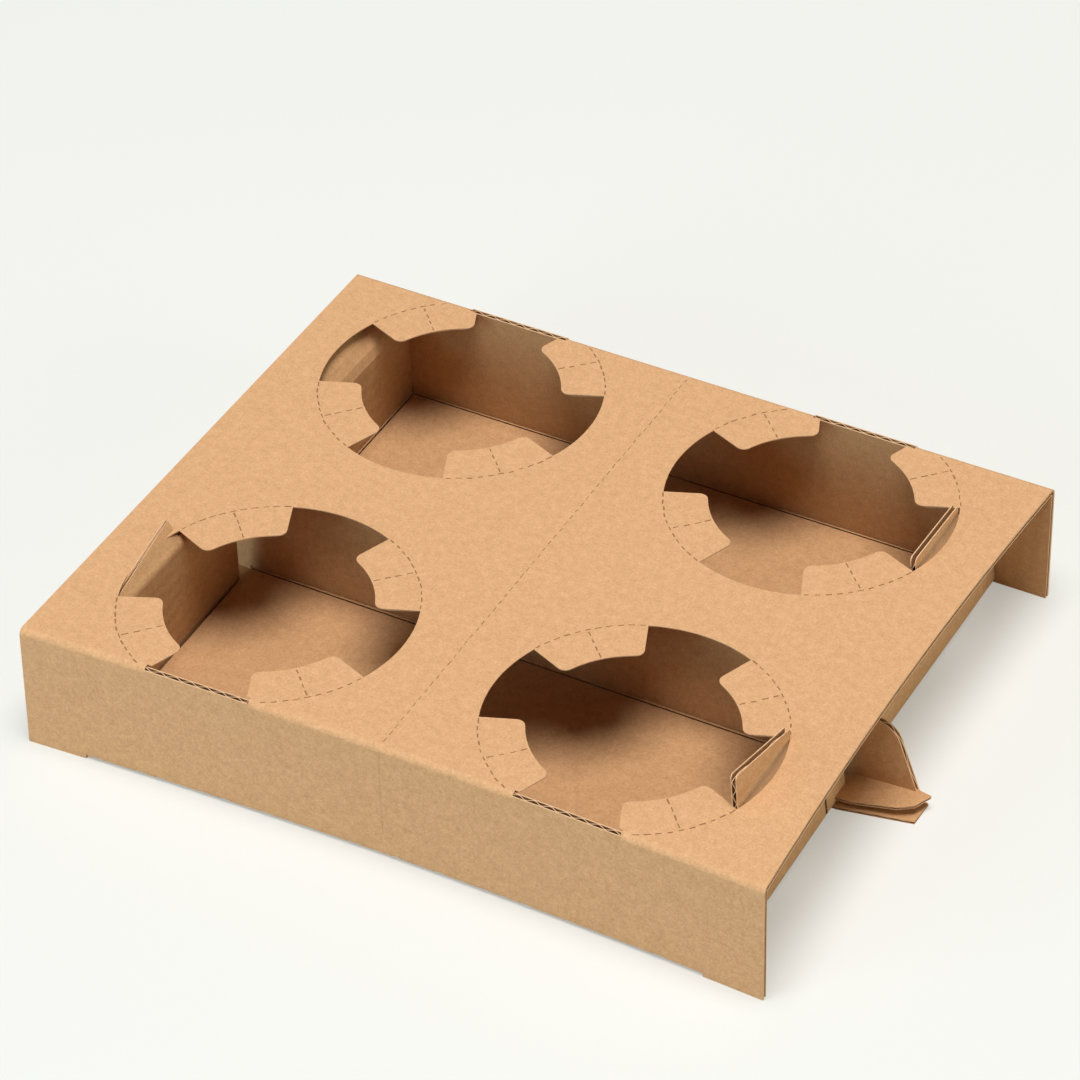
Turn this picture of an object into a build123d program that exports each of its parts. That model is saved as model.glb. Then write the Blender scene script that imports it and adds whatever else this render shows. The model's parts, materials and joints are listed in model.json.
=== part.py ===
"""Four-cup carrier folded from one sheet of thin corrugated board.

The panel, the front and back walls and the floor form a flat tube, and the board's flutes
run round it. End flaps fold up from the floor and hook tabs into the cup openings. A
partition folds up from the inner edge of the front floor and runs out past the flaps as a
fin, over a tongue of two layers. Millimetres, +Z up, front wall at -Y, origin under the
middle of the tray at the level that it rests on.
"""
from build123d import *
from math import atan, cos, radians, sin
import os

# Board
board = 1.8
liner = 0.3
medium = 0.25
flute_pitch = 4.8
mouth_depth = 1.2
slip = 0.3  # clearance where two folded panels lie by each other

# Tube
tray_length = 228.0
tray_depth = 183.7
tray_height = 40.0
fold_radius = 2.0
inner_fold_radius = 0.4
edge_drop = 0.6  # a wall's cut edge lies this far below the panel
tube_shift = 1.75  # the tube lies this far to the right of the middle of the cup openings

# Cup openings
ring_radius = 42.0
end_margin = 15.25  # board between a ring and the mean end of the panel
front_overrun = 3.15  # a front ring would reach this far past its fold
back_overrun = 5.65
mouth_radius = 29.2
gap_half_angle = 22.0
grip_corner_radius = 2.5

# End flaps
flap_setback = 18.0  # from the mean end of the panel to the top of a flap's outer face
flap_lean = 3.9  # a flap's foot stands this far out from its top
flap_fold_radius = 1.4
hook_clearance = 1.73  # on each side of a hook in its gap
hook_corner_radius = 1.5
slit_place = 14.75  # from the middle of the tray to the slit in the front right flap
slit_width = 0.8
strip_place = 3.35  # from the middle to the strip beside that slit
left_flap_place = 11.45  # from the middle to the front left flap

# How far each hook stands above the panel at its front and its back end
front_right_rise = (11.4, 4.0)
back_right_rise = (3.0, 1.8)
front_left_rise = 5.6
front_left_lean = 2.8
back_left_height = 7.0  # this hook is bent out under the panel
back_left_lean = 3.3

# Partition, and the lap of the two floors below it
partition_place = 2.35  # from the middle of the tray to the partition's front face
lap_place = 14.65  # from the middle to the lower layer's front edge
ramp_place = 18.75  # from the middle to where the front floor lies level

# Fin and tongue, measured out from the flap's foot
fin_reach = 16.9
fin_top_reach = 9.0
fin_height = 23.0
fin_corner_radius = 7.0
tongue_reach = 20.3
tongue_front_reach = 18.3
tongue_back_reach = 13.9
tongue_shoulder_reach = 4.6
tongue_front = 13.85
tongue_nose_front = 8.15
tongue_nose_back = 2.15
tongue_back = 0.4
lower_nose_front = 10.35
tongue_lift = 1.2  # opening between the two layers at the nose

# Derived places
half_length = tray_length / 2
half_depth = tray_depth / 2
panel_underside = tray_height - board
wall_inner = half_depth - board
wall_middle = half_depth - board / 2
flap_outer = half_length - flap_setback
flap_inner = flap_outer - board
foot_outer = flap_outer + flap_lean
foot_inner = foot_outer - board
flap_top = panel_underside - slip
flap_side = wall_inner - slip
upper_floor = board + slip
partition_front = -partition_place
partition_back = partition_front + board
back_flap_start = partition_back + slip
front_row = ring_radius - front_overrun - half_depth
back_row = half_depth + back_overrun - ring_radius
pitch_x = tray_length - 2 * (ring_radius + end_margin)
pitch_y = back_row - front_row
rows_middle = (front_row + back_row) / 2
gap_angle = radians(gap_half_angle)
hook_width = 2 * (ring_radius * sin(gap_angle) - hook_clearance)


def fluted_edge(span, thickness):
    """Mouths of the flutes along a cut edge: two staggered rows of triangles between the liners."""
    depth = thickness - 2 * liner - medium
    base = flute_pitch - 2 * medium
    mouths = int(2 * span / flute_pitch)
    near = liner - thickness / 2
    with BuildSketch() as near_mouth:
        with BuildLine():
            Polyline((-base / 2, near), (base / 2, near), (0, near + depth), close=True)
        make_face()
    with BuildSketch() as row:
        for mouth in range(mouths):
            with Locations(((mouth - (mouths - 1) / 2) * flute_pitch / 2, 0)):
                add(near_mouth.sketch, rotation=180 * (mouth % 2))
    return row.sketch


# One cup opening: a round mouth with four gaps, which leaves four grip tabs
with BuildSketch() as cup_opening:
    with BuildLine():
        Line((0, 0), (ring_radius * cos(gap_angle), -ring_radius * sin(gap_angle)))
        RadiusArc(
            (ring_radius * cos(gap_angle), -ring_radius * sin(gap_angle)),
            (ring_radius * cos(gap_angle), ring_radius * sin(gap_angle)),
            -ring_radius,
        )
        Line((ring_radius * cos(gap_angle), ring_radius * sin(gap_angle)), (0, 0))
    make_face()
    add(cup_opening.sketch, rotation=90)
    add(cup_opening.sketch, rotation=180)
    Circle(mouth_radius)
    grip_corners = [
        corner
        for corner in cup_opening.vertices()
        if abs(Vector(corner.X, corner.Y).length - mouth_radius) < grip_corner_radius / 2
    ]
    fillet(grip_corners, grip_corner_radius)

# The ring of board that the grip tabs are cut from
with BuildSketch() as grip_ring:
    Circle(ring_radius)
    add(cup_opening.sketch, mode=Mode.SUBTRACT)

# Half outline of the partition, seen from the front, with its fin
with BuildSketch() as partition_half:
    with BuildLine():
        Polyline(
            (0, upper_floor),
            (foot_outer + fin_reach, upper_floor),
            (foot_outer + fin_top_reach, fin_height),
            (flap_outer, fin_height),
            (flap_outer, flap_top),
            (0, flap_top),
            close=True,
        )
    make_face()
    fin_corner = partition_half.vertices().filter_by_position(
        Axis.X, foot_outer + fin_top_reach - slip, foot_outer + fin_top_reach + slip
    )
    fillet(fin_corner, fin_corner_radius)

# The tongue's two layers, seen from above
with BuildSketch() as lower_tongue:
    with BuildLine():
        Polyline(
            (foot_inner, partition_back),
            (foot_outer + tongue_reach, -tongue_nose_back),
            (foot_outer + tongue_reach, -lower_nose_front),
            (foot_inner, -lap_place),
            close=True,
        )
    make_face()

with BuildSketch() as upper_tongue:
    with BuildLine():
        Polyline(
            (-board, partition_back),
            (0, partition_back),
            (tongue_back_reach, -tongue_back),
            (tongue_reach, -tongue_nose_back),
            (tongue_front_reach, -tongue_nose_front),
            (tongue_shoulder_reach, -tongue_front),
            (-board, -tongue_front),
            close=True,
        )
    make_face()

# Section of an end flap, which leans in from its foot
with BuildSketch() as flap_section:
    with BuildLine():
        Polyline(
            (foot_inner, 0),
            (foot_outer, 0),
            (flap_outer, flap_top),
            (flap_inner, flap_top),
            close=True,
        )
    make_face()


with BuildPart() as carrier:
    # Panel with the front and back walls
    with BuildSketch(Plane.YZ.offset(tube_shift - half_length)):
        with Locations((0, tray_height / 2)):
            Rectangle(tray_depth, tray_height)
        with Locations((0, panel_underside / 2)):
            Rectangle(2 * wall_inner, panel_underside, mode=Mode.SUBTRACT)
    extrude(amount=tray_length)
    fillet(carrier.edges().filter_by(Axis.X).group_by(Axis.Z)[-1], fold_radius)
    inner_folds = [
        fold
        for fold in carrier.edges().filter_by(Axis.X)
        if abs(fold.center().Z - panel_underside) < slip and abs(abs(fold.center().Y) - wall_inner) < slip
    ]
    fillet(inner_folds, inner_fold_radius)

    # Rounded lower folds, between the cut ends of the walls
    with BuildSketch(Plane.YZ.offset(-foot_outer)):
        with Locations((0, fold_radius / 2)):
            with GridLocations(tray_depth - fold_radius, 0, 2, 1):
                Rectangle(fold_radius, fold_radius)
        with Locations((0, fold_radius)):
            with GridLocations(tray_depth - 2 * fold_radius, 0, 2, 1):
                Circle(fold_radius, mode=Mode.SUBTRACT)
    extrude(amount=2 * foot_outer, mode=Mode.SUBTRACT)

    # Grip tabs stay flat where their ring meets a fold
    with BuildSketch(Plane.XY.offset(panel_underside)):
        with Locations((0, rows_middle)):
            with GridLocations(pitch_x, pitch_y, 2, 2):
                add(grip_ring.sketch)
        with Locations((tube_shift, 0)):
            Rectangle(tray_length, tray_depth, mode=Mode.INTERSECT)
    extrude(amount=board)

    # Cup openings through the panel, and the walls' cut edges at the folds
    with BuildSketch(Plane.XY.offset(tray_height)):
        with Locations((0, rows_middle)):
            with GridLocations(pitch_x, pitch_y, 2, 2):
                add(cup_opening.sketch)
        with Locations((tube_shift, 0)):
            Rectangle(tray_length, 2 * wall_inner, mode=Mode.INTERSECT)
    extrude(amount=-board, mode=Mode.SUBTRACT)
    with BuildSketch(Plane.XY.offset(tray_height)):
        with Locations((0, rows_middle)):
            with GridLocations(pitch_x, pitch_y, 2, 2):
                add(cup_opening.sketch)
    extrude(amount=-edge_drop, mode=Mode.SUBTRACT)

    # Flute mouths in those cut edges
    for row, wall in ((front_row, -wall_middle), (back_row, wall_middle)):
        with BuildSketch(Plane.XY.offset(tray_height - edge_drop)):
            with Locations((0, wall)):
                with GridLocations(pitch_x, 0, 2, 1):
                    add(fluted_edge(2 * abs(wall - row) * sin(gap_angle), board))
        extrude(amount=-mouth_depth, mode=Mode.SUBTRACT)

    # End flaps from the front to the back; the third run is the strip beside the slit
    flap_runs = (
        (-1, -flap_side, -left_flap_place),
        (1, -flap_side, -slit_place - slit_width / 2),
        (1, -slit_place + slit_width / 2, -strip_place),
        (-1, back_flap_start, flap_side),
        (1, back_flap_start, flap_side),
    )
    for side, run_start, run_end in flap_runs:
        with BuildSketch(Plane.XZ.offset(-run_start)):
            if side < 0:
                mirror(flap_section.sketch, about=Plane.YZ)
            else:
                add(flap_section.sketch)
        extrude(amount=run_start - run_end)

    # The front flaps and the strip end where they stand on the sloping front floor
    with BuildSketch(Plane.YZ.offset(-foot_outer)):
        with BuildLine():
            Polyline(
                (-wall_inner, 0),
                (-ramp_place, upper_floor),
                (-strip_place, upper_floor),
                (-strip_place, 0),
                close=True,
            )
        make_face()
    extrude(amount=2 * foot_outer, mode=Mode.SUBTRACT)

    # Back floor, the lower layer of the lap
    with BuildSketch():
        with Locations((0, (wall_inner - lap_place) / 2)):
            Rectangle(2 * foot_outer, wall_inner + lap_place)
    extrude(amount=board)

    # Front floor, which climbs on to the lap and turns up into the partition
    with BuildSketch(Plane.YZ.offset(-foot_outer)):
        with BuildLine():
            Polyline(
                (-wall_inner, 0),
                (-ramp_place, upper_floor),
                (partition_back, upper_floor),
                (partition_back, upper_floor + board),
                (-ramp_place, upper_floor + board),
                (-wall_inner, board),
                close=True,
            )
        make_face()
    extrude(amount=2 * foot_outer)

    # Partition and fins
    with BuildSketch(Plane.XZ.offset(-partition_back)):
        add(partition_half.sketch)
        mirror(partition_half.sketch, about=Plane.YZ)
    extrude(amount=board)

    # Tongues: the lower layer lies flat and the upper one springs up from it
    for side in (-1, 1):
        with BuildSketch():
            if side < 0:
                mirror(lower_tongue.sketch, about=Plane.YZ)
            else:
                add(lower_tongue.sketch)
        extrude(amount=board)
        lift_angle = atan(tongue_lift / tongue_reach)
        tongue_plane = Plane(
            origin=(side * foot_outer, 0, upper_floor),
            x_dir=(cos(lift_angle), 0, side * sin(lift_angle)),
            z_dir=(-side * sin(lift_angle), 0, cos(lift_angle)),
        )
        with BuildSketch(tongue_plane):
            if side < 0:
                mirror(upper_tongue.sketch, about=Plane.YZ)
            else:
                add(upper_tongue.sketch)
        extrude(amount=board)

    # Upright hooks at the right end, each with a flute split open along its top
    for row, (front_rise, back_rise) in ((front_row, front_right_rise), (back_row, back_right_rise)):
        hook_front = row - hook_width / 2
        hook_back = row + hook_width / 2
        with BuildSketch(Plane.YZ.offset(flap_inner)):
            with BuildLine():
                Polyline(
                    (hook_front, flap_top - board),
                    (hook_back, flap_top - board),
                    (hook_back, tray_height + back_rise),
                    (hook_front, tray_height + front_rise),
                    close=True,
                )
            hook_face = make_face()
            fillet(hook_face.vertices().group_by(Axis.Y)[-1], hook_corner_radius)
        extrude(amount=board)
        corner_drop = (front_rise - back_rise) * hook_corner_radius / hook_width
        groove_front = (hook_front + hook_corner_radius, tray_height + front_rise - corner_drop)
        groove_back = (hook_back - hook_corner_radius, tray_height + back_rise + corner_drop)
        with BuildSketch(Plane.YZ.offset(flap_inner + liner)):
            with BuildLine():
                Polyline(
                    (groove_front[0], groove_front[1] + slip),
                    (groove_front[0], groove_front[1] - mouth_depth),
                    (groove_back[0], groove_back[1] - mouth_depth),
                    (groove_back[0], groove_back[1] + slip),
                    close=True,
                )
            make_face()
        extrude(amount=board - 2 * liner, mode=Mode.SUBTRACT)

    # Flute mouths in the front edge of the tallest hook
    mouth_run = front_right_rise[0] - mouth_depth - hook_corner_radius
    with BuildSketch(Plane.XZ.offset(hook_width / 2 - front_row)):
        with Locations((flap_outer - board / 2, tray_height + mouth_run / 2)):
            add(fluted_edge(mouth_run, board), rotation=90)
    extrude(amount=-mouth_depth, mode=Mode.SUBTRACT)

    # The front left hook leans out over the panel
    lean_angle = atan(front_left_lean / (front_left_rise - slip))
    lean_start = tray_height + slip
    with BuildSketch(Plane.XZ.offset(-front_row - hook_width / 2)):
        with BuildLine():
            Polyline(
                (-flap_inner, flap_top - board),
                (-flap_inner, lean_start),
                (-flap_inner - front_left_lean, tray_height + front_left_rise + board * sin(lean_angle)),
                (-flap_inner - front_left_lean - board * cos(lean_angle), tray_height + front_left_rise),
                (-flap_outer, lean_start),
                (-flap_outer, flap_top - board),
                close=True,
            )
        make_face()
    extrude(amount=hook_width)

    # The back left hook is bent out and tucked under the panel
    tuck_start = flap_top - back_left_height
    tuck_outer = flap_outer + flap_lean * back_left_height / flap_top
    tuck_inner = tuck_outer - board
    with BuildSketch(Plane.XY.offset(tuck_start)):
        with Locations((-(flap_inner + tuck_outer) / 2, back_row)):
            Rectangle(tuck_outer - flap_inner, hook_width + 2 * slip)
    extrude(amount=back_left_height, mode=Mode.SUBTRACT)
    with BuildSketch(Plane.XZ.offset(-back_row - hook_width / 2)):
        with BuildLine():
            Polyline(
                (-tuck_inner, tuck_start - board),
                (-tuck_inner, tuck_start),
                (-tuck_inner - back_left_lean, flap_top),
                (-tuck_outer - back_left_lean, flap_top),
                (-tuck_outer, tuck_start),
                (-tuck_outer, tuck_start - board),
                close=True,
            )
        make_face()
    extrude(amount=hook_width)

    # Rounded folds at the foot of the flaps, which climb with the front floor
    slope = atan(upper_floor / (wall_inner - ramp_place))
    fold_runs = (
        (back_flap_start, 0, wall_inner - back_flap_start, 0),
        (-wall_inner, 0, (wall_inner - ramp_place) / cos(slope), slope),
        (-ramp_place, upper_floor, ramp_place - slit_place - slit_width / 2, 0),
    )
    for start, level, run, climb in fold_runs:
        with BuildSketch(Plane.XZ.offset(-start)):
            for side in (-1, 1):
                with Locations((side * (foot_outer - flap_fold_radius / 2), level + flap_fold_radius / 2)):
                    Rectangle(flap_fold_radius, flap_fold_radius)
            with GridLocations(2 * (foot_outer - flap_fold_radius), 0, 2, 1):
                with Locations((0, level + flap_fold_radius)):
                    Circle(flap_fold_radius, mode=Mode.SUBTRACT)
        extrude(amount=run, dir=(0, cos(climb), sin(climb)), mode=Mode.SUBTRACT)


os.makedirs("parts", exist_ok=True)
carrier.part.label = "carrier"
export_step(carrier.part, "parts/carrier.step")
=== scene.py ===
import json
from math import atan2, ceil, cos, pi, radians, sin, tan
from random import Random

import bmesh
import bpy
from mathutils import Matrix, Vector

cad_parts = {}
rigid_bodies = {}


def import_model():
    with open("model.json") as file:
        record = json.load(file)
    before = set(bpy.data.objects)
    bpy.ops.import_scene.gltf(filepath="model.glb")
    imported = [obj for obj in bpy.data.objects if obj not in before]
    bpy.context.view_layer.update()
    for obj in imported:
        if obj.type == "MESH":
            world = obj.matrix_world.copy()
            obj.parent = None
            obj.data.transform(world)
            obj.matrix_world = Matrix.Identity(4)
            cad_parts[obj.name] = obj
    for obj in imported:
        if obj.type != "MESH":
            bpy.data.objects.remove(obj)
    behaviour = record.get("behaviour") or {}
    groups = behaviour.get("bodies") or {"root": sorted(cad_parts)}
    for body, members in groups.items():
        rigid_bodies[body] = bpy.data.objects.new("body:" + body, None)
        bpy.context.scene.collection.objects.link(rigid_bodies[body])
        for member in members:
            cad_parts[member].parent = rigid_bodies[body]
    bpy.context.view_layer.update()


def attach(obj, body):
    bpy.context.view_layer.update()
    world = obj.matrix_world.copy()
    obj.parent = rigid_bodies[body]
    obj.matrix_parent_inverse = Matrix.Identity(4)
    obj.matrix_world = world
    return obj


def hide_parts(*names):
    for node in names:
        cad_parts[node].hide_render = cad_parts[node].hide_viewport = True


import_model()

mm = 0.001
print("frame loaded")

# How the corrugated board is made up, and how finely it is drawn
board = {
    "thickness": 1.8 * mm,
    "liner": 0.3 * mm,
    "medium": 0.25 * mm,
    "flutePitch": 4.8 * mm,
    "stepsPerFlute": 8,
    "bendSteps": 6,
    "runStep": 14 * mm,
    "cornerSteps": 5,
    "crush": 1.7 * mm,
    "split": 1.2 * mm,
    "shortestRun": 1e-7,
    "stepSlack": 0.01,
}
halfBoard = board["thickness"] / 2
fluteStep = board["flutePitch"] / board["stepsPerFlute"]
waveHeight = halfBoard - board["liner"] - board["medium"] / 2
layers = {
    "inner": (-halfBoard, -halfBoard + board["liner"], 0),
    "medium": (-board["medium"] / 2, board["medium"] / 2, waveHeight),
    "outer": (halfBoard - board["liner"], halfBoard, 0),
}


def faceDirection(angle):
    return Vector((-sin(angle), cos(angle)))


def foldStations(corners, radii, runStep):
    # places along the middle of a folded board, each with the direction that its outer face looks
    points = [Vector(corner) for corner in corners]
    first = points[1] - points[0]
    rough = [(points[0], atan2(first.y, first.x))]
    for before, corner, after, radius in zip(points, points[1:], points[2:], radii):
        arriving = (corner - before).normalized()
        leaving = (after - corner).normalized()
        turn = atan2(arriving.x * leaving.y - arriving.y * leaving.x, arriving.dot(leaving))
        heading = atan2(arriving.y, arriving.x)
        side = 1 if turn > 0 else -1
        start = corner - arriving * radius * tan(abs(turn) / 2)
        centre = start + faceDirection(heading) * radius * side
        for bend in range(board["bendSteps"] + 1):
            angle = heading + turn * bend / board["bendSteps"]
            rough.append((centre - faceDirection(angle) * radius * side, angle))
    rough.append((points[-1], rough[-1][1]))
    stations = [(rough[0][0], faceDirection(rough[0][1]), 0.0)]
    for (point, angle), (nextPoint, nextAngle) in zip(rough, rough[1:]):
        run = (nextPoint - point).length
        if run < board["shortestRun"]:
            continue
        cuts = max(1, ceil(run / runStep - board["stepSlack"]))
        for cut in range(1, cuts + 1):
            share = cut / cuts
            between = point.lerp(nextPoint, share)
            facing = faceDirection(angle + (nextAngle - angle) * share)
            stations.append((between, facing, stations[-1][2] + run / cuts))
    return stations


def evenPlaces(low, high, step):
    count = max(1, ceil((high - low) / step - board["stepSlack"]))
    return [low + (high - low) * i / count for i in range(count + 1)]


def boardLayer(name, stations, places, put, fluteAcross, insideShaded):
    # one paper of the board: a flat grid, given its thickness and then folded
    low, high, wave = layers[name]
    bm = bmesh.new()
    bmesh.ops.create_grid(bm, x_segments=len(stations) - 1, y_segments=len(places) - 1, size=0.5)
    raised = bmesh.ops.extrude_face_region(bm, geom=bm.faces[:])["geom"]
    bmesh.ops.translate(bm, vec=(0, 0, 1), verts=[v for v in raised if isinstance(v, bmesh.types.BMVert)])
    sheet = bm.loops.layers.uv.new("sheet")
    for face in bm.faces:
        levels = {round(v.co.z) for v in face.verts}
        # the layer towards the box's inside gets the darker inside paper, whose colour is painted shade
        face.material_index = 1 if len(levels) > 1 else {"medium": 2, insideShaded: 3}.get(name, 0)
        for loop in face.loops:
            station = stations[round((loop.vert.co.x + 0.5) * (len(stations) - 1))]
            place = places[round((loop.vert.co.y + 0.5) * (len(places) - 1))]
            loop[sheet].uv = (place, station[2]) if fluteAcross else (station[2], place)
    for v in bm.verts:
        point, facing, distance = stations[round((v.co.x + 0.5) * (len(stations) - 1))]
        place = places[round((v.co.y + 0.5) * (len(places) - 1))]
        flute = place if fluteAcross else distance
        height = low + (high - low) * v.co.z + wave * sin(2 * pi * flute / board["flutePitch"])
        folded = point + facing * height
        v.co = put(folded.x, folded.y, place)
    closeOutward(bm)
    return bm


def closeOutward(bm):
    bmesh.ops.recalc_face_normals(bm, faces=bm.faces[:])
    if bm.calc_volume(signed=True) < 0:
        bmesh.ops.reverse_faces(bm, faces=bm.faces[:])


def paperObject(bm, name):
    mesh = bpy.data.meshes.new(name)
    bm.to_mesh(mesh)
    bm.free()
    for material in (kraftLiner, cutEdge, flutedMedium, insideShadedLiner):
        mesh.materials.append(material)
    made = bpy.data.objects.new(name, mesh)
    bpy.context.scene.collection.objects.link(made)
    return made


def trim(target, cutter, operation):
    modifier = target.modifiers.new("trim", "BOOLEAN")
    modifier.operation = operation
    modifier.solver = "EXACT"
    modifier.material_mode = "TRANSFER"
    modifier.object = cutter
    evaluated = target.evaluated_get(bpy.context.evaluated_depsgraph_get())
    trimmed = bpy.data.meshes.new_from_object(evaluated)
    target.modifiers.clear()
    old = target.data
    target.data = trimmed
    bpy.data.meshes.remove(old)


def cutterFromFace(bm, name, along, height):
    # a flat outline becomes a solid to cut with
    raised = bmesh.ops.extrude_face_region(bm, geom=bm.faces[:])["geom"]
    corners = [v for v in raised if isinstance(v, bmesh.types.BMVert)]
    bmesh.ops.translate(bm, vec=Vector(along) * height, verts=corners)
    closeOutward(bm)
    for face in bm.faces:
        face.material_index = 1
    return paperObject(bm, name)


def outlineCutter(name, corners, put, along, height, rounded=(), reach=0.0):
    bm = bmesh.new()
    bm.faces.new([bm.verts.new(put(*corner)) for corner in corners])
    bm.verts.ensure_lookup_table()
    if rounded:
        bmesh.ops.bevel(
            bm, geom=[bm.verts[i] for i in rounded], affect="VERTICES", offset=reach,
            segments=board["cornerSteps"], profile=0.5, material=-1,
        )
    return cutterFromFace(bm, name, along, height)


def boxCutter(name, boxes, slot=1):
    bm = bmesh.new()
    for low, high in boxes:
        low, high = Vector(low), Vector(high)
        size = Matrix.Diagonal((high - low).to_4d())
        bmesh.ops.create_cube(bm, size=1, matrix=Matrix.Translation((low + high) / 2) @ size)
    for face in bm.faces:
        face.material_index = slot
    return paperObject(bm, name)


def makeBoard(
    name, corners, radii, span, put, fluteAcross, keep=None, cuts=(), hiddenCuts=(), outerCuts=(),
    mediumKeep=None, insideShaded="inner", linerStep=board["runStep"],
):
    # three papers of one panel, trimmed to its outline and joined
    runStep = linerStep if fluteAcross else fluteStep
    spanStep = fluteStep if fluteAcross else linerStep
    stations = foldStations(corners, radii, runStep)
    mediumPlaces = evenPlaces(span[0], span[1], spanStep)
    linerPlaces = evenPlaces(span[0], span[1], linerStep)
    linerStations = foldStations(corners, radii, linerStep)
    joined = bmesh.new()
    for layer in layers:
        if layer == "medium":
            bm = boardLayer(layer, stations, mediumPlaces, put, fluteAcross, insideShaded)
        else:
            bm = boardLayer(layer, linerStations, linerPlaces, put, fluteAcross, insideShaded)
        paper = paperObject(bm, name + layer)
        if keep:
            trim(paper, mediumKeep if mediumKeep and layer == "medium" else keep, "INTERSECT")
        for cutter in (outerCuts if layer == "outer" else hiddenCuts) + cuts:
            trim(paper, cutter, "DIFFERENCE")
        joined.from_mesh(paper.data)
        bpy.data.objects.remove(paper)
    print("board", name, len(joined.faces), "faces")
    return joined


def onTube(a, b, place):
    return Vector((place, a, b))


def onSleeve(a, b, place):
    # the panel's right end bows in between the walls
    reach = max(0, (place - bow["start"]) / (tray["right"] - bow["start"]))
    return Vector((place - bow["depth"] * reach * (1 - (a / tray["halfDepth"]) ** 2), a, b))


def onFlap(a, b, place):
    # the front right flap's foot stands out a little further towards the front wall
    if a > 0:
        low = max(0, 1 - b / tray["flapTop"])
        front = min(1, max(0, -place / tray["wallInner"]))
        outward = min(1, max(0, (a - tray["floorEnd"] + splay["reach"]) / splay["reach"]))
        a += splay["foot"] * front * low * outward
    return Vector((a, place, b))


def onCrushedFlap(a, b, place):
    # the front left hook's board is pressed thin above its crease
    run = Vector((hook["leanOut"], hook["leanTop"] - hook["leanStart"])).normalized()
    off = (-a - hook["leanFoot"]) * run.y - (b - hook["leanStart"]) * run.x
    share = min(1, max(0, b - hook["leanStart"]) / hook["crushReach"])
    pressed = off * share * (1 - hook["crushed"])
    return onFlap(a + pressed * run.y, b + pressed * run.x, place)


def onTuckedFlap(a, b, place):
    # the back left flap is pushed out softly around its hook
    away = max(0, abs(place - tuck["row"]) - tuck["halfWidth"]) / tuck["fade"]
    share = max(0, b - tuck["start"]) / (tuck["top"] - tuck["start"])
    return onFlap(a - tuck["lean"] * share ** tuck["curve"] * max(0, 1 - away ** 2), b, place)


# Places on the tray, as the frame has them
tray = {
    "left": -112.25 * mm,
    "right": 115.75 * mm,
    "halfDepth": 91.85 * mm,
    "height": 40 * mm,
    "wallInner": 90.05 * mm,
    "floorEnd": 97.6 * mm,
    "leftFloorEnd": 94.0 * mm,
    "foldMiddle": 1.1 * mm,
    "footMiddle": 1.0 * mm,
    "rampPlace": 18.75 * mm,
    "rampRadius": 8 * mm,
    "lapRise": 2.1 * mm,
    "lapPlace": 14.65 * mm,
    "turnUp": 1.43 * mm,
    "partitionTop": -1.45 * mm,
    "partitionFoot": -5.0 * mm,
    "wallFoot": 8 * mm,
    "flapTop": 37.9 * mm,
    "flapMiddle": 95.1 * mm,
    "flapFoot": 98.9 * mm,
    "leftFlapFoot": 95.3 * mm,
    "past": 1 * mm,
    "beyond": 1,
}
splay = {
    "foot": 1.6 * mm,
    "reach": 3 * mm,
}
bow = {
    "start": 70 * mm,
    "depth": 2.9 * mm,
}
wallMiddle = tray["halfDepth"] - halfBoard
panelMiddle = tray["height"] - halfBoard

# Cup openings
opening = {
    "places": [(x * mm, y * mm) for x in (-56.75, 56.75) for y in (-53.0, 55.5)],
    "ringRadius": 42 * mm,
    "mouthRadius": 29.2 * mm,
    "gapHalfAngle": 22,
    "gapSteps": 12,
    "mouthSteps": 9,
    "cornerRadius": 2.4 * mm,
    "edgeDrop": 0.6 * mm,
    "foldReach": 16.2 * mm,
    "foldDepth": 2.1 * mm,
    "foldFoot": 36 * mm,
    "within": 1.01,
    "merge": 0.01 * mm,
}

# Perforations: pressed dashes in the medium's dark brown, partly the torn fibres' own brown and partly
# painted shade for the depth of the cut
perforation = {
    "pitch": 3.2 * mm,
    "dash": 1.8 * mm,
    "width": 0.42 * mm,
    "depth": 0.06 * mm,
    "wander": 0.12 * mm,
    "turn": 0.06,
    "lengthRange": (0.75, 1.15),
    "widthRange": (0.7, 1.2),
    "spokeStart": 0.45,
    "middleWidth": 0.24 * mm,
    "creaseWidth": 0.5 * mm,
    "creaseTop": 37 * mm,
}
chance = Random(4)


def openingFace(bm, centre, grow):
    # a round mouth with four gaps: arcs are spun, and the tabs' sides are extruded between them
    middle = Vector((centre[0], centre[1], 0))
    ring, mouth = opening["ringRadius"] + grow, opening["mouthRadius"] + grow
    half = radians(opening["gapHalfAngle"]) + grow / opening["ringRadius"]
    last = bm.verts.new(middle + Vector((cos(-half), sin(-half), 0)) * ring)
    corners = []
    for quarter in range(4):
        for angle, radius, steps in (
            (2 * half, ring, opening["gapSteps"]), (pi / 2 - 2 * half, mouth, opening["mouthSteps"])
        ):
            spun = bmesh.ops.spin(
                bm, geom=[last], cent=middle, axis=(0, 0, 1), angle=angle, steps=steps, use_duplicate=False
            )
            last = [v for v in spun["geom_last"] if isinstance(v, bmesh.types.BMVert)][0]
            side = bmesh.ops.extrude_vert_indiv(bm, verts=[last])["verts"][0]
            if radius == mouth:
                corners.append(last)
                side.co = middle + (last.co - middle).normalized() * ring
            else:
                side.co = middle + (last.co - middle).normalized() * mouth
                corners.append(side)
            last = side
    reach = ring * opening["within"]
    fresh = [v for v in bm.verts if (v.co - middle).length < reach]
    bmesh.ops.remove_doubles(bm, verts=fresh, dist=opening["merge"])
    edges = [e for e in bm.edges if (e.verts[0].co - middle).length < reach and e.is_wire]
    face = bmesh.ops.contextual_create(bm, geom=edges)["faces"]
    bmesh.ops.bevel(
        bm, geom=[v for v in corners if v.is_valid], affect="VERTICES", offset=opening["cornerRadius"],
        segments=board["cornerSteps"], profile=0.5, material=-1,
    )
    return face


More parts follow.
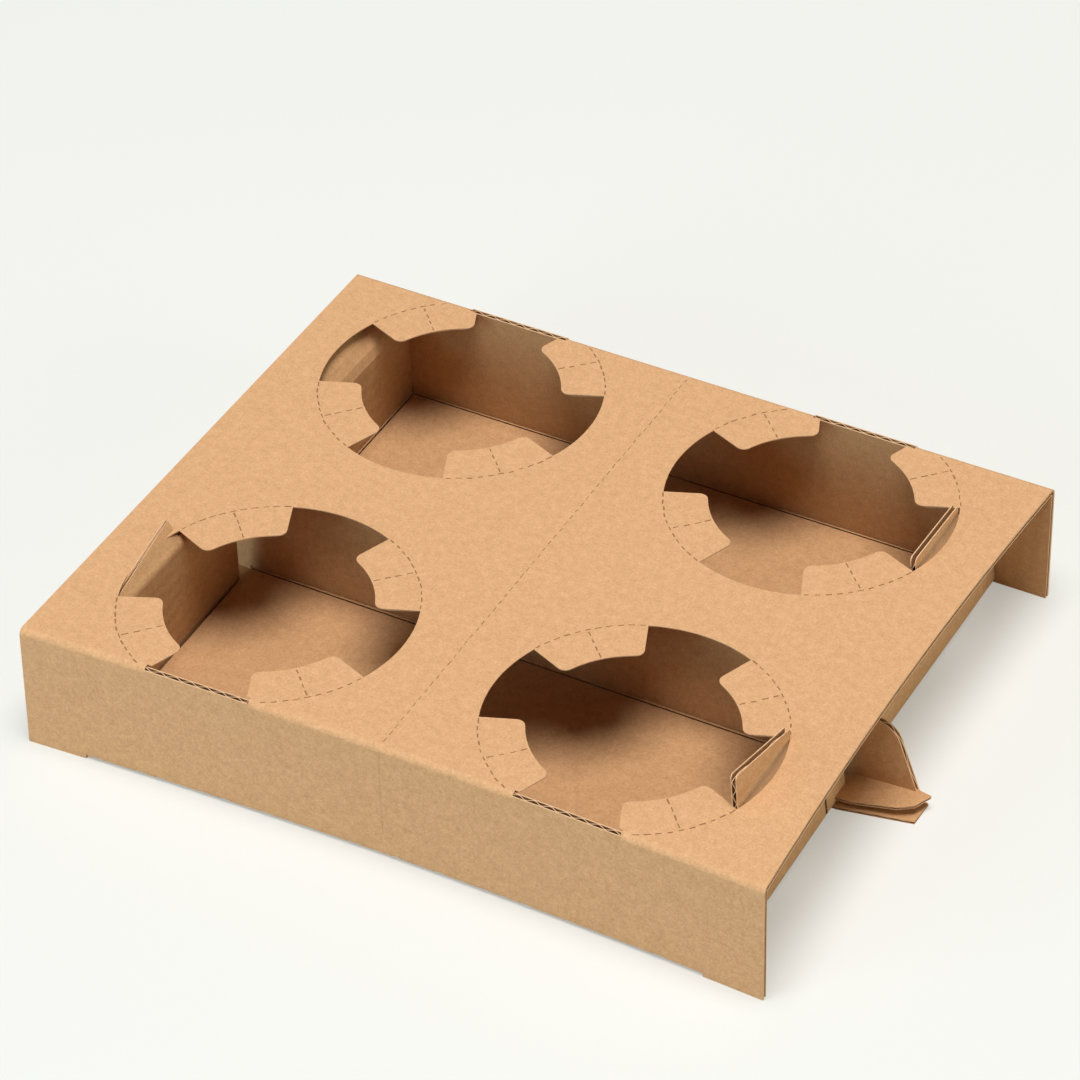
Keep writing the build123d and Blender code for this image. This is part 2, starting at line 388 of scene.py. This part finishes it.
def openingCutter(name, low, high, depth=None, grow=0.0):
    bm = bmesh.new()
    for place in opening["places"]:
        openingFace(bm, place, grow)
    if depth:
        for side in (-1, 1):
            bmesh.ops.bisect_plane(
                bm, geom=bm.verts[:] + bm.edges[:] + bm.faces[:], plane_co=(0, side * depth, 0),
                plane_no=(0, side, 0), clear_outer=True,
            )
    bmesh.ops.translate(bm, vec=(0, 0, low), verts=bm.verts[:])
    return cutterFromFace(bm, name, (0, 0, 1), high - low)


def addDash(bm, x, y, angle, width):
    # no two dashes are quite alike
    wander = perforation["wander"]
    place = (x + chance.uniform(-wander, wander), y + chance.uniform(-wander, wander), tray["height"])
    turn = angle + chance.uniform(-perforation["turn"], perforation["turn"])
    turned = Matrix.Translation(place) @ Matrix.Rotation(turn, 4, "Z")
    length = perforation["dash"] * chance.uniform(*perforation["lengthRange"])
    width *= chance.uniform(*perforation["widthRange"])
    size = Matrix.Diagonal((length, width, 2 * perforation["depth"], 1))
    bmesh.ops.create_cube(bm, size=1, matrix=turned @ size)


def perforationCutter():
    bm = bmesh.new()
    half = opening["gapHalfAngle"]
    width = perforation["width"]
    for centre in opening["places"]:
        for tab in range(4):
            start, end = radians(90 * tab + half), radians(90 * tab + 90 - half)
            count = round((end - start) * opening["ringRadius"] / perforation["pitch"])
            for i in range(count):
                angle = start + (end - start) * (i + 0.5) / count
                x = centre[0] + cos(angle) * opening["ringRadius"]
                y = centre[1] + sin(angle) * opening["ringRadius"]
                if abs(y) < tray["wallInner"]:
                    addDash(bm, x, y, angle + pi / 2, width)
            middle = (start + end) / 2
            reach = opening["ringRadius"] - opening["mouthRadius"]
            count = round(reach / perforation["pitch"])
            for i in range(count):
                radius = opening["mouthRadius"] + reach * (i + perforation["spokeStart"]) / count
                addDash(bm, centre[0] + cos(middle) * radius, centre[1] + sin(middle) * radius, middle, width)
    count = round(2 * tray["wallInner"] / perforation["pitch"])
    for i in range(count):
        y = tray["wallInner"] * (2 * (i + 0.5) / count - 1)
        addDash(bm, 0, y, pi / 2, perforation["middleWidth"])
    # the dashes take the medium's dark brown: partly the torn fibres' colour, partly painted shade of the
    # slit
    for face in bm.faces:
        face.material_index = 2
    return paperObject(bm, "perforationCutter")


def foldNicks(name, places, nickBox):
    # the lower folds were cut through in short runs, so their corners are nicked
    boxes = []
    for place in places:
        length = nick["length"] * chance.uniform(*nick["lengthRange"])
        depth = nick["depth"] * chance.uniform(*nick["depthRange"])
        boxes.append(nickBox(place - length / 2, place + length / 2, depth))
    return boxCutter(name, boxes)


# Colours of the paper, and the scale of its marks in marks per metre
kraft = {
    "liner": (0.62, 0.352, 0.172, 1),
    "linerDark": (0.47, 0.252, 0.113, 1),
    "linerLight": (0.76, 0.455, 0.242, 1),
    # the inside paper's colours are the liner's colours darkened: painted shade for the box's shaded inside
    "insideShaded": (0.535, 0.300, 0.139, 1),
    "insideShadedDark": (0.405, 0.215, 0.091, 1),
    "insideShadedLight": (0.655, 0.388, 0.196, 1),
    "edge": (0.74, 0.47, 0.27, 1),
    "medium": (0.30, 0.150, 0.062, 1),
    "mediumLight": (0.40, 0.21, 0.09, 1),
    "roughness": 0.88,
    "specular": 0.2,
    "mottleScale": 420,
    "mottleDetail": 5,
    "mottleRoughness": 0.7,
    "fibreScale": 1500,
    "fibreDetail": 3,
    "fibreRoughness": 0.6,
    "fibreShare": 0.55,
    "toneStops": (0.25, 0.5, 0.75),
    "speckScale": 650,
    "speckDetail": 2,
    "speckStops": (0.70, 0.80),
    "speckStrength": (0.3, 0.3, 0.3, 1),
    "speckShade": 0.55,
    "grainStrength": 0.5,
    "grainDepth": 0.05 * mm,
    "ribDepth": 0.06 * mm,
}


def kraftPaper(name, colour, dark, light, ribDepth=0):
    material = bpy.data.materials.new(name)
    material.use_nodes = True
    nodes, links = material.node_tree.nodes, material.node_tree.links
    shader = nodes["Principled BSDF"]
    shader.inputs["Roughness"].default_value = kraft["roughness"]
    shader.inputs["Specular IOR Level"].default_value = kraft["specular"]
    coordinate = nodes.new("ShaderNodeTexCoord")
    mottle = nodes.new("ShaderNodeTexNoise")
    mottle.inputs["Scale"].default_value = kraft["mottleScale"]
    mottle.inputs["Detail"].default_value = kraft["mottleDetail"]
    mottle.inputs["Roughness"].default_value = kraft["mottleRoughness"]
    fibre = nodes.new("ShaderNodeTexNoise")
    fibre.inputs["Scale"].default_value = kraft["fibreScale"]
    fibre.inputs["Detail"].default_value = kraft["fibreDetail"]
    fibre.inputs["Roughness"].default_value = kraft["fibreRoughness"]
    speck = nodes.new("ShaderNodeTexNoise")
    speck.inputs["Scale"].default_value = kraft["speckScale"]
    speck.inputs["Detail"].default_value = kraft["speckDetail"]
    for texture in (mottle, fibre, speck):
        links.new(coordinate.outputs["Object"], texture.inputs["Vector"])
    low, centre, high = kraft["toneStops"]
    tone = nodes.new("ShaderNodeValToRGB")
    tone.color_ramp.elements[0].position = low
    tone.color_ramp.elements[0].color = dark
    tone.color_ramp.elements[1].position = high
    tone.color_ramp.elements[1].color = light
    middle = tone.color_ramp.elements.new(centre)
    middle.color = colour
    blend = nodes.new("ShaderNodeMix")
    blend.inputs["Factor"].default_value = kraft["fibreShare"]
    links.new(mottle.outputs["Fac"], blend.inputs["A"])
    links.new(fibre.outputs["Fac"], blend.inputs["B"])
    links.new(blend.outputs["Result"], tone.inputs["Fac"])
    spots = nodes.new("ShaderNodeValToRGB")
    spots.color_ramp.elements[0].position, spots.color_ramp.elements[1].position = kraft["speckStops"]
    spots.color_ramp.elements[0].color = (0, 0, 0, 1)
    spots.color_ramp.elements[1].color = kraft["speckStrength"]
    links.new(speck.outputs["Fac"], spots.inputs["Fac"])
    speckled = nodes.new("ShaderNodeMix")
    speckled.data_type = "RGBA"
    speckled.inputs["B"].default_value = [channel * kraft["speckShade"] for channel in dark[:3]] + [1]
    links.new(spots.outputs["Color"], speckled.inputs["Factor"])
    links.new(tone.outputs["Color"], speckled.inputs["A"])
    links.new(speckled.outputs["Result"], shader.inputs["Base Color"])
    fine = nodes.new("ShaderNodeBump")
    fine.inputs["Strength"].default_value = kraft["grainStrength"]
    fine.inputs["Distance"].default_value = kraft["grainDepth"]
    links.new(fibre.outputs["Fac"], fine.inputs["Height"])
    if ribDepth:
        # the flutes show faintly through the outer papers
        flutes = nodes.new("ShaderNodeUVMap")
        flutes.uv_map = "sheet"
        wave = nodes.new("ShaderNodeTexWave")
        wave.wave_type = "BANDS"
        wave.bands_direction = "X"
        wave.inputs["Scale"].default_value = pi / (10 * board["flutePitch"])
        wave.inputs["Distortion"].default_value = 0
        links.new(flutes.outputs["UV"], wave.inputs["Vector"])
        ribs = nodes.new("ShaderNodeBump")
        ribs.inputs["Strength"].default_value = 1
        ribs.inputs["Distance"].default_value = ribDepth
        links.new(wave.outputs["Fac"], ribs.inputs["Height"])
        links.new(ribs.outputs["Normal"], fine.inputs["Normal"])
    links.new(fine.outputs["Normal"], shader.inputs["Normal"])
    return material


kraftLiner = kraftPaper(
    "kraftLiner", kraft["liner"], kraft["linerDark"], kraft["linerLight"], kraft["ribDepth"]
)
# a darker copy of the liner for the faces towards the box's inside: painted shade
insideShadedLiner = kraftPaper(
    "insideShadedLiner", kraft["insideShaded"], kraft["insideShadedDark"], kraft["insideShadedLight"], kraft["ribDepth"]
)
cutEdge = kraftPaper("cutEdge", kraft["edge"], kraft["liner"], kraft["linerLight"])
flutedMedium = kraftPaper("flutedMedium", kraft["medium"], kraft["medium"], kraft["mediumLight"])
print("materials made")

# Nicks left by the cuts along the lower folds
nick = {
    "pitch": 6.8 * mm,
    "length": 3.4 * mm,
    "depth": 1.15 * mm,
    "lengthRange": (0.8, 1.15),
    "depthRange": (0.7, 1.2),
    "past": 1 * mm,
}

# Sleeve: the front wall, the panel with its openings and the back wall
above = tray["height"] + tray["past"]
below = tray["height"] - 2 * board["thickness"]
upperCutter = openingCutter("upperCutter", tray["height"] - opening["edgeDrop"], above)
panelCutter = openingCutter("panelCutter", below, above, tray["wallInner"])
hiddenCutter = openingCutter("hiddenCutter", below, above, tray["wallInner"], board["crush"])
footCutter = boxCutter("footCutter", [(
    (-tray["leftFloorEnd"], -tray["beyond"], -tray["beyond"]),
    (tray["floorEnd"], tray["beyond"], tray["wallFoot"]),
)])
foldBoxes = []
for x, y in opening["places"]:
    outer = tray["halfDepth"] + tray["past"]
    inner = tray["halfDepth"] - opening["foldDepth"]
    low, high = (inner, outer) if y > 0 else (-outer, -inner)
    foldBoxes.append((
        (x - opening["foldReach"], low, opening["foldFoot"]),
        (x + opening["foldReach"], high, above),
    ))
foldCutter = boxCutter("foldCutter", foldBoxes)
dashes = perforationCutter()
wallCrease = boxCutter("wallCreaseCutter", [(
    (-perforation["creaseWidth"] / 2, -tray["halfDepth"] - tray["past"], -tray["past"]),
    (perforation["creaseWidth"] / 2, -tray["halfDepth"] + perforation["depth"], perforation["creaseTop"]),
)], 0)
sleeve = makeBoard(
    "sleeve",
    [(-wallMiddle, 0), (-wallMiddle, panelMiddle), (wallMiddle, panelMiddle), (wallMiddle, 0)],
    [tray["foldMiddle"], tray["foldMiddle"]],
    (tray["left"], tray["right"]),
    onSleeve,
    True,
    cuts=(upperCutter, panelCutter, footCutter, foldCutter),
    hiddenCuts=(hiddenCutter,),
    outerCuts=(dashes, wallCrease),
)

# The walls' cut edges at the folds, with the flutes' mouths open
foldEdges = []
for x, y in opening["places"]:
    wall = [(-wallMiddle, opening["foldFoot"]), (-wallMiddle, tray["height"] - opening["edgeDrop"])]
    if y > 0:
        wall = [(-a, b) for a, b in reversed(wall)]
    foldEdges.append(makeBoard(
        "foldEdge", wall, [], (x - opening["foldReach"], x + opening["foldReach"]), onTube, True
    ))

# Floors: the front one climbs on to the lap and turns up, the back one lies flat below it
floorMiddle = halfBoard
upperMiddle = tray["lapRise"] + halfBoard
partitionStart = upperMiddle + tray["turnUp"]


def partitionPlace(z):
    # the partition leans from its foot on the front floor to its top under the panel
    share = (z - upperMiddle) / (tray["flapTop"] - upperMiddle)
    return tray["partitionFoot"] + (tray["partitionTop"] - tray["partitionFoot"]) * share, z


nickPlaces = evenPlaces(-tray["floorEnd"] + nick["pitch"], tray["floorEnd"] - nick["pitch"], nick["pitch"])


def frontNick(start, end, depth):
    edge = -tray["halfDepth"]
    return (start, edge - nick["past"], -nick["past"]), (end, edge + depth, depth)


def backNick(start, end, depth):
    edge = tray["halfDepth"]
    return (start, edge - depth, -nick["past"]), (end, edge + nick["past"], depth)


frontNicks = foldNicks("frontNickCutter", nickPlaces, frontNick)
backNicks = foldNicks("backNickCutter", nickPlaces, backNick)

# Pressed crease lines at the feet of the flaps, the partition and the back wall
crease = {
    "width": 0.55 * mm,
    "depth": 1.1 * mm,
    "end": 0.6 * mm,
    "side": 88.5 * mm,
    "gap": 0.3 * mm,
    "partition": -6.9 * mm,
    "wall": 89.1 * mm,
}
creaseFloor = board["thickness"] - crease["depth"]
creaseTop = tray["lapRise"] + board["thickness"] + crease["gap"]
creaseBoxes = []
leftCrease = crease["end"] - tray["leftFloorEnd"]
rightCrease = tray["floorEnd"] - crease["end"]
for start in (leftCrease - 2 * crease["end"], rightCrease):
    creaseBoxes.append((
        (start, -crease["side"], creaseFloor),
        (start + 2 * crease["end"], crease["side"], creaseTop),
    ))
for start, foot in ((crease["partition"], tray["lapRise"] + creaseFloor), (crease["wall"], creaseFloor)):
    creaseBoxes.append((
        (leftCrease + crease["gap"], start, foot),
        (rightCrease - crease["gap"], start + crease["width"], creaseTop),
    ))
creases = boxCutter("creaseCutter", creaseBoxes, 2)
frontFloor = makeBoard(
    "frontFloor",
    [
        (-wallMiddle, tray["wallFoot"]),
        (-wallMiddle, floorMiddle),
        (-tray["rampPlace"], upperMiddle),
        (tray["partitionFoot"], upperMiddle),
        partitionPlace(partitionStart),
    ],
    [tray["foldMiddle"], tray["rampRadius"], tray["foldMiddle"]],
    (-tray["leftFloorEnd"], tray["floorEnd"]),
    onTube,
    True,
    cuts=(frontNicks, creases),
    insideShaded="outer",
)
backFloor = makeBoard(
    "backFloor",
    [(wallMiddle, tray["wallFoot"]), (wallMiddle, floorMiddle), (-tray["lapPlace"], floorMiddle)],
    [tray["foldMiddle"]],
    (-tray["leftFloorEnd"], tray["floorEnd"]),
    onTube,
    True,
    cuts=(backNicks, creases),
)

# Partition with a fin at each end
fin = {
    "reach": 120.0 * mm,
    "topReach": 111.0 * mm,
    "height": 23.2 * mm,
    "cornerReach": 4.8 * mm,
    "cutFront": -10 * mm,
    "cutDepth": 20 * mm,
}
partitionOutline = [
    (tray["floorEnd"], tray["lapRise"]),
    (fin["reach"], tray["lapRise"]),
    (fin["topReach"], fin["height"]),
    (tray["flapMiddle"] + halfBoard, fin["height"]),
    (tray["flapMiddle"] + halfBoard, tray["flapTop"]),
]


def mirrored(corners):
    return [(-a, b) for a, b in reversed(corners)]


leftOutline = [(tray["leftFloorEnd"], tray["lapRise"])] + partitionOutline[1:]
partitionShape = [(-tray["leftFloorEnd"], partitionStart), (tray["floorEnd"], partitionStart)]
partitionShape += partitionOutline + mirrored(leftOutline)
finCutter = outlineCutter(
    "finCutter", partitionShape, lambda x, z: Vector((x, fin["cutFront"], z)), (0, 1, 0), fin["cutDepth"],
    rounded=(4, 9), reach=fin["cornerReach"],
)
partition = makeBoard(
    "partition",
    [partitionPlace(0), partitionPlace(tray["height"])],
    [],
    (-fin["reach"] - tray["past"], fin["reach"] + tray["past"]),
    onTube,
    True,
    keep=finCutter,
    insideShaded="outer",
)

# End flaps with their hooks, from the front to the back
hook = {
    "halfWidth": 14 * mm,
    "frontRow": -53.0 * mm,
    "backRow": 55.5 * mm,
    "cornerReach": 1.5 * mm,
    "bend": 20 * mm,
    "leanIn": 0.8 * mm,
    "topPlace": 52 * mm,
    "wideHalf": 15.4 * mm,
    "leanBend": 5 * mm,
    "leanFoot": 95.25 * mm,
    "leanStart": 36 * mm,
    "leanOut": 5.2 * mm,
    "leanTop": 44 * mm,
    "crushed": 0.35,
    "crushReach": 3 * mm,
    "rightFrontTops": (51.0 * mm, 43.0 * mm),
    "rightBackTops": (43.0 * mm, 41.8 * mm),
    "leftFrontTops": (38.5 * mm, 42.6 * mm),
}
tuck = {
    "row": hook["backRow"],
    "start": 29 * mm,
    "top": 38.0 * mm,
    "lean": 6.6 * mm,
    "halfWidth": 14.5 * mm,
    "fade": 12 * mm,
    "curve": 1.5,
    "step": 3 * mm,
}
flapRun = {
    "front": -89.75 * mm,
    "slit": -23.0 * mm,
    "stripFront": -21.9 * mm,
    "stripBack": -10.4 * mm,
    "leftFrontEnd": -11.45 * mm,
    "backStart": -0.25 * mm,
    "back": 89.75 * mm,
    "below": -5 * mm,
    "cutLeft": -130 * mm,
    "cutLength": 260 * mm,
}


def flapOutline(start, end, hookCorners=()):
    corners = [(start, flapRun["below"]), (end, flapRun["below"]), (end, tray["flapTop"])]
    return corners + list(hookCorners) + [(start, tray["flapTop"])]


def hookOutline(row, frontTop, backTop, halfWidth):
    return [
        (row + halfWidth, tray["flapTop"]),
        (row + halfWidth, backTop),
        (row - halfWidth, frontTop),
        (row - halfWidth, tray["flapTop"]),
    ]


def flapCutter(name, corners, rounded=()):
    return outlineCutter(
        name, corners, lambda y, z: Vector((flapRun["cutLeft"], y, z)), (1, 0, 0), flapRun["cutLength"],
        rounded=rounded, reach=hook["cornerReach"],
    )


def hookedFlap(
    name, side, start, end, row, tops, path, radii, halfWidth=hook["halfWidth"], drop=board["split"],
    put=onFlap,
):
    # where the middle paper ends lower than the two outer ones, a hook's top is split open
    front, back = tops
    outer = hookOutline(row, front, back, halfWidth)
    middle = hookOutline(row, front - drop, back - drop, halfWidth)
    keep = flapCutter(name + "Cutter", flapOutline(start, end, outer), (5, 6))
    mediumKeep = flapCutter(name + "SplitCutter", flapOutline(start, end, middle), (5, 6))
    return makeFlap(name, side, keep, path, radii, mediumKeep, put)


def makeFlap(name, side, keep, path, radii, mediumKeep=None, put=onFlap, linerStep=board["runStep"]):
    # a flap rises from its foot on the floor to the underside of the panel: the right end's lean in
    near, foot = ("floorEnd", "flapFoot") if side > 0 else ("leftFloorEnd", "leftFlapFoot")
    corners = [(tray[near], floorMiddle), (tray[foot], floorMiddle)] + path
    corners = [(side * a, b) for a, b in corners]
    radii = [tray["footMiddle"]] + radii
    if side > 0:
        corners.reverse()
        radii.reverse()
    return makeBoard(
        name, corners, radii, (flapRun["front"], flapRun["back"]), put, False, keep=keep,
        mediumKeep=mediumKeep, linerStep=linerStep,
    )


bendPlace = (tray["flapMiddle"], tray["flapTop"])
hookPath = [bendPlace, (tray["flapMiddle"] - hook["leanIn"], hook["topPlace"])]
leanPath = [(hook["leanFoot"], hook["leanStart"]), (hook["leanFoot"] + hook["leanOut"], hook["leanTop"])]
rightFront = hookedFlap(
    "rightFront", 1, flapRun["front"], flapRun["slit"], hook["frontRow"], hook["rightFrontTops"], hookPath,
    [hook["bend"]], hook["wideHalf"],
)
rightBack = hookedFlap(
    "rightBack", 1, flapRun["backStart"], flapRun["back"], hook["backRow"], hook["rightBackTops"], hookPath,
    [hook["bend"]],
)
stripCutter = flapCutter("rightStripCutter", flapOutline(flapRun["stripFront"], flapRun["stripBack"]))
rightStrip = makeFlap("rightStrip", 1, stripCutter, [bendPlace], [])
leftFront = hookedFlap(
    "leftFront", -1, flapRun["front"], flapRun["leftFrontEnd"], hook["frontRow"], hook["leftFrontTops"],
    leanPath, [hook["leanBend"]], hook["wideHalf"], 0, onCrushedFlap,
)
leftBackCutter = flapCutter("leftBackCutter", flapOutline(flapRun["backStart"], flapRun["back"]))
leftBack = makeFlap(
    "leftBack", -1, leftBackCutter, [bendPlace], [], put=onTuckedFlap, linerStep=tuck["step"]
)

# Tongues under the fins, one on each floor
tongue = {
    "lower": [(94.0, -3.7), (122.6, -5.2), (122.4, -13.8), (101.0, -18.1), (94.0, -18.1)],
    "upper": [
        (94.0, -3.7), (99.9, -3.7), (116.6, -4.2), (123.7, -5.8),
        (121.2, -11.4), (117.0, -14.0), (104.5, -16.9), (94.0, -16.9),
    ],
    "lift": 3.0 * mm,
    "crushed": 0.5,
    "reach": 24.1 * mm,
    "front": -19 * mm,
    "back": 0,
    "cutBelow": -5 * mm,
    "cutHeight": 20 * mm,
}
flapEdge = tray["flapFoot"] + halfBoard
near = tray["leftFloorEnd"]
far = flapEdge + tongue["reach"] + tray["past"]
tongues = []
for side in (-1, 1):
    for level in ("lower", "upper"):
        cutter = outlineCutter(
            level + "TongueCutter",
            [(side * x * mm, y * mm) for x, y in tongue[level]],
            lambda x, y: Vector((x, y, tongue["cutBelow"])),
            (0, 0, 1),
            tongue["cutHeight"],
        )
        base = floorMiddle if level == "lower" else upperMiddle
        under = base - halfBoard
        lift = tongue["lift"] if level == "upper" else 0
        slope = lift / tongue["reach"]
        root = (side * near, base - slope * board["thickness"])
        tip = (side * far, base + slope * (far - flapEdge))
        tongues.append(makeBoard(
            level + "Tongue", [root, tip], [], (tongue["front"], tongue["back"]),
            lambda a, b, place: Vector((a, place, under + (b - under) * tongue["crushed"])), False,
            keep=cutter, insideShaded="outer" if side > 0 else "inner",
        ))

# One sheet from all its panels
everyPanel = [
    sleeve, frontFloor, backFloor, partition, rightFront, rightBack, rightStrip, leftFront, leftBack,
] + foldEdges + tongues
whole = bmesh.new()
for panel in everyPanel:
    holder = bpy.data.meshes.new("panel")
    panel.to_mesh(holder)
    panel.free()
    whole.from_mesh(holder)
    bpy.data.meshes.remove(holder)

# Hand folding has pushed the two front corners out, and the front left one furthest at its foot
warp = {
    "start": -20 * mm,
    "middle": 0.7 * mm,
    "tilt": 0.00614,
    "bend": 0.2122,
    "foot": 1.3 * mm,
}
for v in whole.verts:
    x, y, z = v.co
    share = min(1, max(0, (warp["start"] - y) / (warp["start"] + tray["halfDepth"])))
    push = warp["bend"] * x * x - warp["tilt"] * x - warp["middle"]
    foot = warp["foot"] * max(0, x / tray["left"]) * (1 - z / tray["height"])
    v.co.y -= share * (push + foot)
foldedSheet = paperObject(whole, "foldedSheet")
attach(foldedSheet, "root")
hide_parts("carrier")
for helper in [o for o in bpy.context.scene.objects if "Cutter" in o.name]:
    bpy.data.objects.remove(helper)
print("sheet folded", len(foldedSheet.data.polygons), "faces")

# Floor, light and camera
studio = {
    "floorSize": 6.0,
    "floorColour": (0.722, 0.728, 0.69, 1),
    "floorRoughness": 0.9,
    "floorGlow": 0.36,
    "glowColour": (0.98, 0.985, 0.93, 1),
    "skyColour": (1.0, 1.0, 0.88, 1),
    "skyStrength": 0.10,
    "keyColour": (0.995, 0.977, 1.0),
    "keyPlace": (0.195, -0.3, 3.0),
    "keySize": 1.725,
    "keyPower": 99.0,
    "fillColour": (0.70, 0.905, 1.0),
    "fillPlace": (-1.0, -1.8, 0.42),
    "fillSize": 1.5,
    "fillPower": 24.6,
    "sideColour": (0.97, 1.0, 0.84),
    "sidePlace": (1.5, 0.2, 0.26),
    "sideSize": 1.3,
    "sidePower": 9,
}
bm = bmesh.new()
bmesh.ops.create_grid(bm, x_segments=1, y_segments=1, size=studio["floorSize"] / 2)
floorMesh = bpy.data.meshes.new("floor")
bm.to_mesh(floorMesh)
bm.free()
floor = bpy.data.objects.new("floor", floorMesh)
bpy.context.scene.collection.objects.link(floor)
floorMaterial = bpy.data.materials.new("floor")
floorMaterial.use_nodes = True
floorNodes, floorLinks = floorMaterial.node_tree.nodes, floorMaterial.node_tree.links
floorShader = floorNodes["Principled BSDF"]
floorShader.inputs["Base Color"].default_value = studio["floorColour"]
floorShader.inputs["Roughness"].default_value = studio["floorRoughness"]
floorShader.inputs["Specular IOR Level"].default_value = 0
glow = floorNodes.new("ShaderNodeEmission")
glow.inputs["Color"].default_value = studio["glowColour"]
glow.inputs["Strength"].default_value = 1
seen = floorNodes.new("ShaderNodeLightPath")
glowShare = floorNodes.new("ShaderNodeMath")
glowShare.operation = "MULTIPLY"
glowShare.inputs[1].default_value = studio["floorGlow"]
lifted = floorNodes.new("ShaderNodeMixShader")
floorLinks.new(seen.outputs["Is Camera Ray"], glowShare.inputs[0])
floorLinks.new(glowShare.outputs["Value"], lifted.inputs["Fac"])
floorLinks.new(floorShader.outputs["BSDF"], lifted.inputs[1])
floorLinks.new(glow.outputs["Emission"], lifted.inputs[2])
floorLinks.new(lifted.outputs["Shader"], floorNodes["Material Output"].inputs["Surface"])
floorMesh.materials.append(floorMaterial)

world = bpy.data.worlds.new("studio")
bpy.context.scene.world = world
world.use_nodes = True
sky = world.node_tree.nodes["Background"]
sky.inputs["Color"].default_value = studio["skyColour"]
sky.inputs["Strength"].default_value = studio["skyStrength"]

for name in ("key", "fill", "side"):
    lamp = bpy.data.lights.new(name, "AREA")
    lamp.shape = "DISK"
    lamp.size = studio[name + "Size"]
    lamp.energy = studio[name + "Power"]
    lamp.color = studio[name + "Colour"]
    hung = bpy.data.objects.new(name, lamp)
    bpy.context.scene.collection.objects.link(hung)
    hung.location = studio[name + "Place"]
    hung.rotation_euler = (-Vector(studio[name + "Place"])).to_track_quat("-Z", "Y").to_euler()

view = {
    "lens": 156.12,
    "sensor": 36,
    "azimuth": 29.467,
    "elevation": 39.483,
    "roll": -1.553,
    "distance": 1313.29 * mm,
    "target": (-3.048 * mm, 4.785 * mm, 40 * mm),
}
azimuth, elevation, roll = (radians(view[angle]) for angle in ("azimuth", "elevation", "roll"))
back = Vector((sin(azimuth) * cos(elevation), -cos(azimuth) * cos(elevation), sin(elevation)))
level = Vector((cos(azimuth), sin(azimuth), 0))
upright = back.cross(level)
right = level * cos(roll) + upright * sin(roll)
up = upright * cos(roll) - level * sin(roll)
cameraData = bpy.data.cameras.new("camera")
cameraData.lens = view["lens"]
cameraData.sensor_width = view["sensor"]
camera = bpy.data.objects.new("camera", cameraData)
bpy.context.scene.collection.objects.link(camera)
place = Vector(view["target"]) + back * view["distance"]
camera.matrix_world = Matrix.Translation(place) @ Matrix((right, up, back)).transposed().to_4x4()
bpy.context.scene.camera = camera
bpy.context.scene.view_settings.view_transform = "Standard"
print("studio lit")
